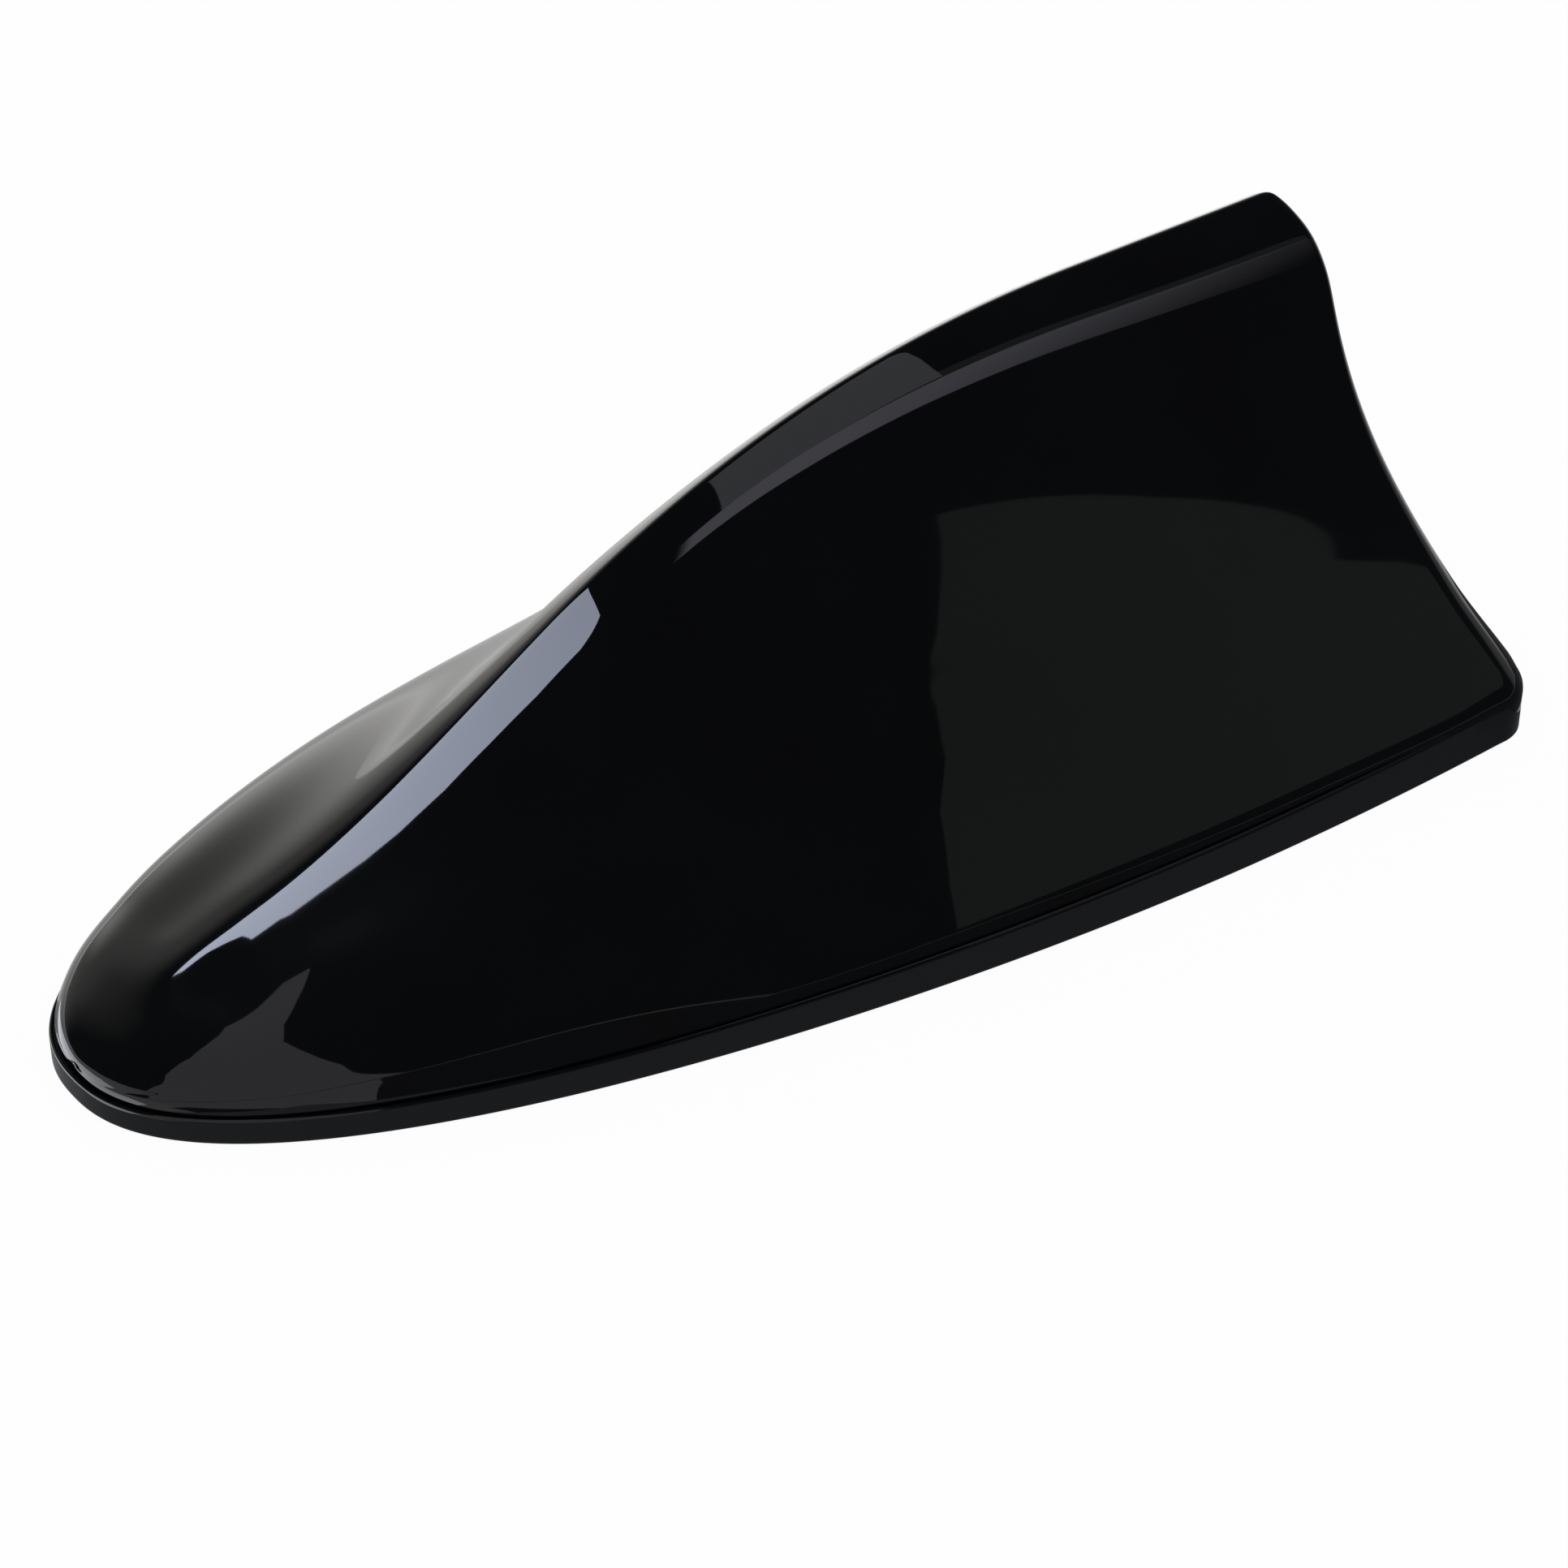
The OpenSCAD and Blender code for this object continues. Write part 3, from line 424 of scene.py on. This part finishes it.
FINISHES = {
    "base_plate": black_abs, "gasket": rubber, "adhesive_pad": foam_tape, "adapter": brass,
    "lock_washer": zinc, "adapter_nut": nickel, "contact_spring": bronze, "circuit_board": board,
    "board_screws": screw_steel, "shield_frame": tinplate, "shield_lid": tinplate, "amplifier_chip": epoxy,
    "chip_capacitors": ceramic, "input_inductor": ferrite, "coil_former": acetal, "coil": copper,
    "solder_pins": solder, "top_plate": brass_sheet, "foam_block": foam,
}
cover.data.materials.append(gloss_black)
for node, material in FINISHES.items():
    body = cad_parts[node]
    if not body.material_slots:
        body.data.materials.append(material)
    for place in body.material_slots:
        place.material = material

# From here on, left and right are as seen from in front of the nose, so +X is right.
# The camera stands in front on the right and looks down at the aerial: its place and aim in millimetres,
# its angle of view in degrees, its sensor in millimetres and its clipping distances in metres
CAMERA_AT, CAMERA_AIM = (276.32, -201.53, 229.22), (8.594, -4.439, 10.280)
VIEW_ANGLE, SENSOR = 22.849, 36
CLIP_NEAR, CLIP_FAR = 0.01, 20
camera = bpy.data.objects.new("camera", bpy.data.cameras.new("camera"))
bpy.context.scene.collection.objects.link(camera)
camera.data.sensor_width = SENSOR
camera.data.lens = SENSOR / 2 / math.tan(math.radians(VIEW_ANGLE / 2))
camera.data.clip_start, camera.data.clip_end = CLIP_NEAR, CLIP_FAR
stand, aim = Vector(CAMERA_AT) * MM, Vector(CAMERA_AIM) * MM
camera.location = stand
camera.rotation_euler = (aim - stand).to_track_quat("-Z", "Y").to_euler()
bpy.context.scene.camera = camera


def plain_white(tree, to_camera, to_shine):
    """The share of plain white that a ray sees: one for camera rays, one for glossy and transmission rays.

    Rays that carry the light itself see none of it."""
    ray = add(tree, "ShaderNodeLightPath")
    shine = add(tree, "ShaderNodeMath", [(0, ray, "Is Glossy Ray"), (1, ray, "Is Transmission Ray")],
                operation="MAXIMUM")
    shares = []
    for source, output, share in ((shine, 0, to_shine), (ray, "Is Camera Ray", to_camera)):
        shares.append(add(tree, "ShaderNodeMath", [(0, source, output)], operation="MULTIPLY"))
        shares[-1].inputs[1].default_value = share
    return add(tree, "ShaderNodeMath", [(0, shares[0], 0), (1, shares[1], 0)], operation="MAXIMUM")


# Matt white floor just under the roof plane: it takes the aerial's faint shadow. Sizes in metres
FLOOR_RADIUS, FLOOR_DROP, FLOOR_SEEN_WHITE, FLOOR_SHINE_WHITE = 2.5, 0.0002, 0.97, 0.1
floor_paint = bpy.data.materials.new("matt_white_floor")
floor_paint.use_nodes = True
tree = floor_paint.node_tree
paint = tree.nodes["Principled BSDF"]
paint.inputs["Base Color"].default_value = linear("#f4f4f4")
paint.inputs["Roughness"].default_value = 0.9
paint.inputs["Specular IOR Level"].default_value = 0.0
glow = add(tree, "ShaderNodeEmission", Strength=1.0)
share = plain_white(tree, FLOOR_SEEN_WHITE, FLOOR_SHINE_WHITE)
blend = add(tree, "ShaderNodeMixShader", [("Fac", share, 0), (1, paint, "BSDF"), (2, glow, "Emission")])
tree.links.new(blend.outputs["Shader"], tree.nodes["Material Output"].inputs["Surface"])
bpy.ops.mesh.primitive_circle_add(vertices=96, radius=FLOOR_RADIUS, fill_type="NGON",
                                  location=(0, 0, -FLOOR_DROP))
floor = bpy.context.object
floor.name = "floor"
floor.data.materials.append(floor_paint)


def only_reflected(thing):
    """A light that shows in shiny surfaces and nowhere else."""
    thing.visible_camera = thing.visible_diffuse = thing.visible_shadow = thing.visible_transmission = False


def faded(tree, place, surface, fades):
    """The surface, with its left, right, lower and upper edge fading over these shares of the card."""
    axes = add(tree, "ShaderNodeSeparateXYZ", [(0, place, "UV")])
    left, right, lower, upper = fades
    lit = None
    for axis, start, run in (("X", 0, left), ("X", 1, -right), ("Y", 0, lower), ("Y", 1, -upper)):
        if not run:
            continue
        edge = add(tree, "ShaderNodeMapRange", [("Value", axes, axis)], interpolation_type="SMOOTHSTEP",
                   From_Min=start, From_Max=start + run)
        lit = add(tree, "ShaderNodeMath", [(0, lit, 0), (1, edge, 0)], operation="MULTIPLY") if lit else edge
    clear = add(tree, "ShaderNodeBsdfTransparent")
    return add(tree, "ShaderNodeMixShader", [("Fac", lit, 0), (1, clear, 0), (2, surface, 0)])


def card(name, corners, strength, tint, fades=None):
    """A flat lit card: its corners in millimetres, its strength and tint.

    A pair of strengths runs from the card's front to its rear. A four-cornered card may have faded edges."""
    mesh = bpy.data.meshes.new(name)
    mesh.from_pydata([[c * MM for c in corner] for corner in corners], [], [tuple(range(len(corners)))])
    cloth = bpy.data.materials.new(name)
    cloth.use_nodes = True
    tree = cloth.node_tree
    tree.nodes.clear()
    place = add(tree, "ShaderNodeTexCoord")
    surface = add(tree, "ShaderNodeEmission", Color=linear(tint))
    if isinstance(strength, tuple):
        front, rear = strength
        sides = add(tree, "ShaderNodeSeparateXYZ", [(0, place, "Generated")])
        level = add(tree, "ShaderNodeMapRange", [("Value", sides, "Y")], To_Min=front, To_Max=rear)
        tree.links.new(level.outputs["Result"], surface.inputs["Strength"])
    else:
        surface.inputs["Strength"].default_value = strength
    if fades:
        mesh.uv_layers.new(name="cloth")
        for loop, at in zip(mesh.uv_layers[0].data, ((0, 0), (1, 0), (1, 1), (0, 1))):
            loop.uv = at
        surface = faded(tree, place, surface, fades)
    add(tree, "ShaderNodeOutputMaterial", [("Surface", surface, 0)])
    thing = bpy.data.objects.new(name, mesh)
    bpy.context.scene.collection.objects.link(thing)
    mesh.materials.append(cloth)
    only_reflected(thing)


def level_card(name, height, outline, strength, tint, fades=None):
    """A card of any outline, lying level over the roof."""
    card(name, [(x, y, height) for x, y in outline], strength, tint, fades)


def side_card(name, x, outline, strength, tint, fades=None):
    """A card of any outline, standing along the car beside the aerial."""
    card(name, [(x, y, z) for y, z in outline], strength, tint, fades)


# A dark tent over the aerial, seen only in its shine: half a sphere in metres, open at the roof
TENT_RADIUS, TENT_GLOW = 2.2, 0.05
tent_cloth = bpy.data.materials.new("black_tent_cloth")
tent_cloth.use_nodes = True
tree = tent_cloth.node_tree
tree.nodes.clear()
dim = add(tree, "ShaderNodeEmission", Strength=TENT_GLOW, Color=linear("#dfe8f0"))
add(tree, "ShaderNodeOutputMaterial", [("Surface", dim, 0)])
bpy.ops.mesh.primitive_uv_sphere_add(segments=48, ring_count=24, radius=TENT_RADIUS)
tent = bpy.context.object
tent.name = "tent"
work = bmesh.new()
work.from_mesh(tent.data)
bmesh.ops.delete(work, geom=[v for v in work.verts if v.co.z < -MM], context="VERTS")
work.to_mesh(tent.data)
work.free()
tent.data.materials.append(tent_cloth)
only_reflected(tent)

# Cards inside the tent; their heights and outlines are in millimetres
FRONT_GREY, SIDE_GREY = 0.72, 0.2
FRONT_TINT, ROOF_TINT, LEFT_TINT, SIDE_TINT = "#ebe6f2", "#e8ecf4", "#fffefb", "#eef4f2"
# Long soft light close over the nose: the white stripe in front of the ridge
level_card("strip_light", 38, ((-21, -77), (-17.5, -75.5), (-13.5, -72.6), (-9.5, -69), (-7, -68.4),
                               (-5.6, -64), (-3.2, -61.2), (0, -57.6), (2.6, -54), (5.4, -48.5), (7, -42),
                               (8, -35), (7, -28), (4, -24), (-0.5, -23), (-3, -28), (-6, -36), (-9, -44),
                               (-12, -53), (-15, -61), (-17.5, -69)), (11, 7.5), "#dfe8ff")
# Grey card over the rise of the ridge
level_card("ridge_card", 60, ((-3, -9.5), (14, -9), (14, 24.5), (-3, 18)), 0.95, "#e6e8f2")
# Card over the fin: the light along its crease, fading to the rear
level_card("crease_card", 59.8, ((13, -17), (24, -17), (53, 108), (18, 108)), 1.4, "#f0f0ff",
           fades=(0, 0.05, 0.03, 0.9))
# Wide card in front, a little over the nose, and one on the roof under it: the two-pointed shape on the nose
level_card("front_card", 25, ((4, -62.3), (6, -66), (9, -70), (14, -72.6), (26, -74.6), (36, -77), (48, -80),
                              (62, -84.5), (80, -90), (1800, -580), (1800, -2200), (260, -2200), (24, -140),
                              (17, -116), (13, -106), (11, -98), (9.5, -90), (9, -84), (6, -76), (4, -72),
                              (2.5, -70.4), (2.8, -66)), FRONT_GREY, FRONT_TINT)
level_card("front_roof_card", 0.4, ((27, -63.4), (60, -73.8), (140, -103), (1200, -475), (1200, -2200),
                                    (16, -2200), (13, -120), (13, -100), (16, -90), (22, -80), (26, -70)),
           FRONT_GREY, FRONT_TINT)
# Card on the roof at the foot of the nose: the bright line along its lip
level_card("low_card", 0.5, ((-24, -80), (-8, -83.8), (2, -84.6), (8, -84), (10, -86), (6, -96), (-6, -102),
                             (-24, -94)), 3, "#f4f7ff")
# Dark cards on the roof along the right side, seen only in the shine: their near edge follows the cover
right_side = [(half_width(u), u - COVER_L / 2) for u in range(12, 166, 6)]
# Painted shadow: a dim card round the nose and the right foot stands in for the aerial's shadow on the roof,
# dimming front to rear
level_card("painted_roof_shadow_card", 0.6,
           [(-14, -76), (0, -80), (10, -78)] + [(x - 3, y) for x, y in right_side]
           + [(x + 6, y) for x, y in right_side[:0:-1]]
           + [(26, -72), (17, -80), (8, -84), (0, -85), (-10, -83.4), (-18, -79)],
           (0.32, 0.12), ROOF_TINT)
level_card("dark_roof_card", 0.2,
           [(x + 3, y) for x, y in right_side]
           + [(30, 83.5), (0, 83), (20, 400), (700, 400), (700, -298), (140, -106), (60, -80), (26, -90),
              (14, -86)],
           0.07, ROOF_TINT)
# Softbox on the left, brightest near the roof, and a dimmer cloth behind it that reaches higher
side_card("left_softbox", -1200, ((-38, -20), (1000, -20), (740, 560), (-386, 560)), 1.35, LEFT_TINT,
          fades=(0.34, 0.2, 0, 0.83))
side_card("left_cloth", -1210, ((-900, -20), (1400, -20), (1400, 1300), (-900, 1300)), 0.38, LEFT_TINT,
          fades=(0.2, 0.2, 0, 0.5))
# Card on the roof to the left, so that the softbox has no lower edge
level_card("left_roof_card", 0.5, ((-1200, -300), (-60, -300), (-60, 600), (-1200, 1100)), 1.3, LEFT_TINT,
           fades=(0, 0.1, 0.2, 0.2))
# Faint cards on the right, one beside the rear of the flank and one far off, and a light one behind
side_card("near_flank_card", 50, ((3.5, 7), (80, 13), (100, 20), (100, 38), (92, 46), (85, 54), (70, 57),
                                  (20.5, 57), (20, 55), (10, 33), (5, 15)), SIDE_GREY, SIDE_TINT)
side_card("far_flank_card", 400, ((192, 320), (400, 355), (560, 375), (540, 500), (265, 690), (262, 640),
                                  (230, 500)), SIDE_GREY, SIDE_TINT)
card("rear_card", ((500, 1200, 0), (-600, 1200, 0), (-600, 1200, 400), (500, 1200, 400)), 0.3, "#ffffff",
     fades=(0.2, 0.2, 0, 0.3))

# Soft white studio all round: plain white to the eye, and dimmer as a light
STUDIO_LIGHT = 0.75
world = bpy.data.worlds.new("studio")
world.use_nodes = True
bpy.context.scene.world = world
tree = world.node_tree
share = plain_white(tree, 1, 1)
level = add(tree, "ShaderNodeMapRange", [("Value", share, 0)], To_Min=STUDIO_LIGHT, To_Max=1.0)
tree.links.new(level.outputs["Result"], tree.nodes["Background"].inputs["Strength"])
tree.nodes["Background"].inputs["Color"].default_value = (1, 1, 1, 1)

scene = bpy.context.scene
scene.view_settings.view_transform = "Standard"

bpy.context.view_layer.update()
